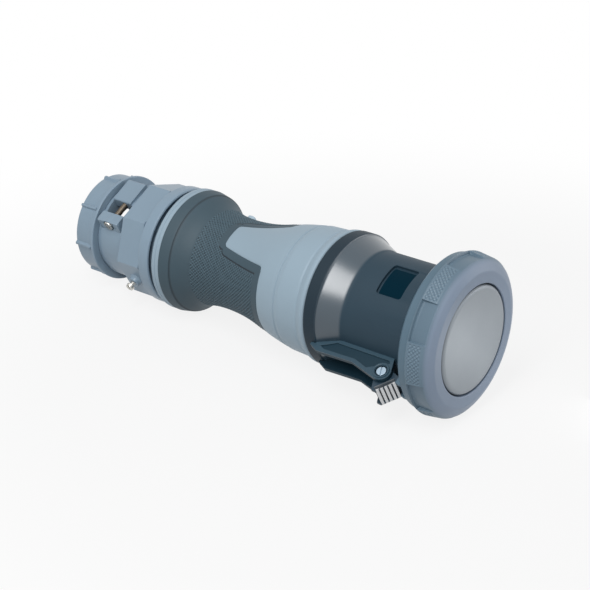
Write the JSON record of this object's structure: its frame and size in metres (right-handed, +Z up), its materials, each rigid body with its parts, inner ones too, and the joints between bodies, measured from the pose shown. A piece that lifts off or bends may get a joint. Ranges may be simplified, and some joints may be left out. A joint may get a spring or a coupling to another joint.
{
  "type": "pin and sleeve connector",
  "caption": "Industrial cable connector: round contact barrel under a sprung hinged lid with bayonet ring, gripped handle, cable clamp and ribbed gland nut.",
  "frame": {"origin": "centre of the contact barrel's front face, where the plug seats", "axes": "+X along the connector's axis out of the contact face, +Z up as it lies, hinge low on the -Y side"},
  "size_m": [0.3533, 0.1249, 0.122],
  "materials": {
    "dark_housing": "glossy moulded",
    "dark_insert": "satin",
    "contact_block": "moulded",
    "brass": "turned",
    "steel": "bright",
    "seal_rubber": "matt",
    "light_shell": "fine moulded",
    "soft_grip": "knurled",
    "gland_grey": "moulded",
    "ring_grey": "moulded",
    "plate_grey": "fine grain",
    "bright_pad": "satin"
  },
  "bodies": {
    "housing": {"front_housing": "dark_housing", "housing_chamber": "dark_housing", "housing_base": "dark_housing", "hinge_ear_a": "dark_housing", "hinge_ear_b": "dark_housing", "window_insert": "dark_insert", "contact_barrel": "contact_block", "contact_face": "contact_block", "contact_carrier": "contact_block", "insert_screws": "steel", "contact_l1": "brass", "contact_l2": "brass", "contact_l3": "brass", "contact_neutral": "brass", "contact_earth": "brass", "contact_pilot": "brass", "terminal_screws": "steel", "housing_seal": "seal_rubber", "handle_shell": "light_shell", "handle_neck": "light_shell", "handle_waist": "light_shell", "handle_bell": "light_shell", "handle_spigot": "light_shell", "handle_grip": "soft_grip", "union_nut": "gland_grey", "nut_lock_screw": "steel", "clamp_body": "gland_grey", "clamp_cradle": "gland_grey", "gland_sleeve": "gland_grey", "clamp_nuts": "steel", "gland_seal": "seal_rubber", "hinge_pin": "steel", "pin_clip": "steel", "lid_spring": "steel"},
    "lid": {"lid_cap": "ring_grey", "lid_plate": "plate_grey", "lid_seal": "seal_rubber", "hinge_hoop": "ring_grey", "thumb_rest": "bright_pad"},
    "ring": {"bayonet_ring": "ring_grey"},
    "saddle": {"clamp_saddle": "gland_grey"},
    "screw_a": {"clamp_screw_a": "steel"},
    "screw_b": {"clamp_screw_b": "steel"},
    "thrust": {"thrust_ring": "gland_grey"},
    "nut": {"end_nut": "gland_grey"}
  },
  "joints": [
    {"name": "lid_hinge", "type": "hinge", "parent": "housing", "child": "lid", "pos_m": [-0.033, -0.04677, -0.027], "axis": [0, 0.5, -0.866], "range_deg": [0, 110], "stiffness_Nm_per_rad": 0.08, "springref_deg": -57.3},
    {"name": "ring_turn", "type": "hinge", "parent": "lid", "child": "ring", "pos_m": [0, 0, 0], "axis": [1, 0, 0], "range_deg": [0, 40]},
    {"name": "saddle_slide", "type": "slide", "parent": "housing", "child": "saddle", "axis": [0, 0.866, 0.5], "range_m": [0, 0.008]},
    {"name": "screw_a_turn", "type": "hinge", "parent": "saddle", "child": "screw_a", "pos_m": [-0.30775, -0.03732, 0.01864], "axis": [0, 0.866, 0.5], "range_deg": [0, 3601]},
    {"name": "screw_b_turn", "type": "hinge", "parent": "saddle", "child": "screw_b", "pos_m": [-0.30775, -0.00252, -0.04164], "axis": [0, 0.866, 0.5], "range_deg": [0, 3601]},
    {"name": "nut_travel", "type": "slide", "parent": "housing", "child": "thrust", "axis": [1, 0, 0], "range_m": [0, 0.003]},
    {"name": "nut_turn", "type": "hinge", "parent": "thrust", "child": "nut", "pos_m": [-0.33, 0, 0], "axis": [1, 0, 0], "range_deg": [0, 361]}
  ],
  "couplings": [
    {"joint": "screw_a_turn", "follows": "saddle_slide", "rad_per_m": 7853.9},
    {"joint": "screw_b_turn", "follows": "saddle_slide", "rad_per_m": 7853.9},
    {"joint": "nut_turn", "follows": "nut_travel", "rad_per_m": 2094.4}
  ]
}
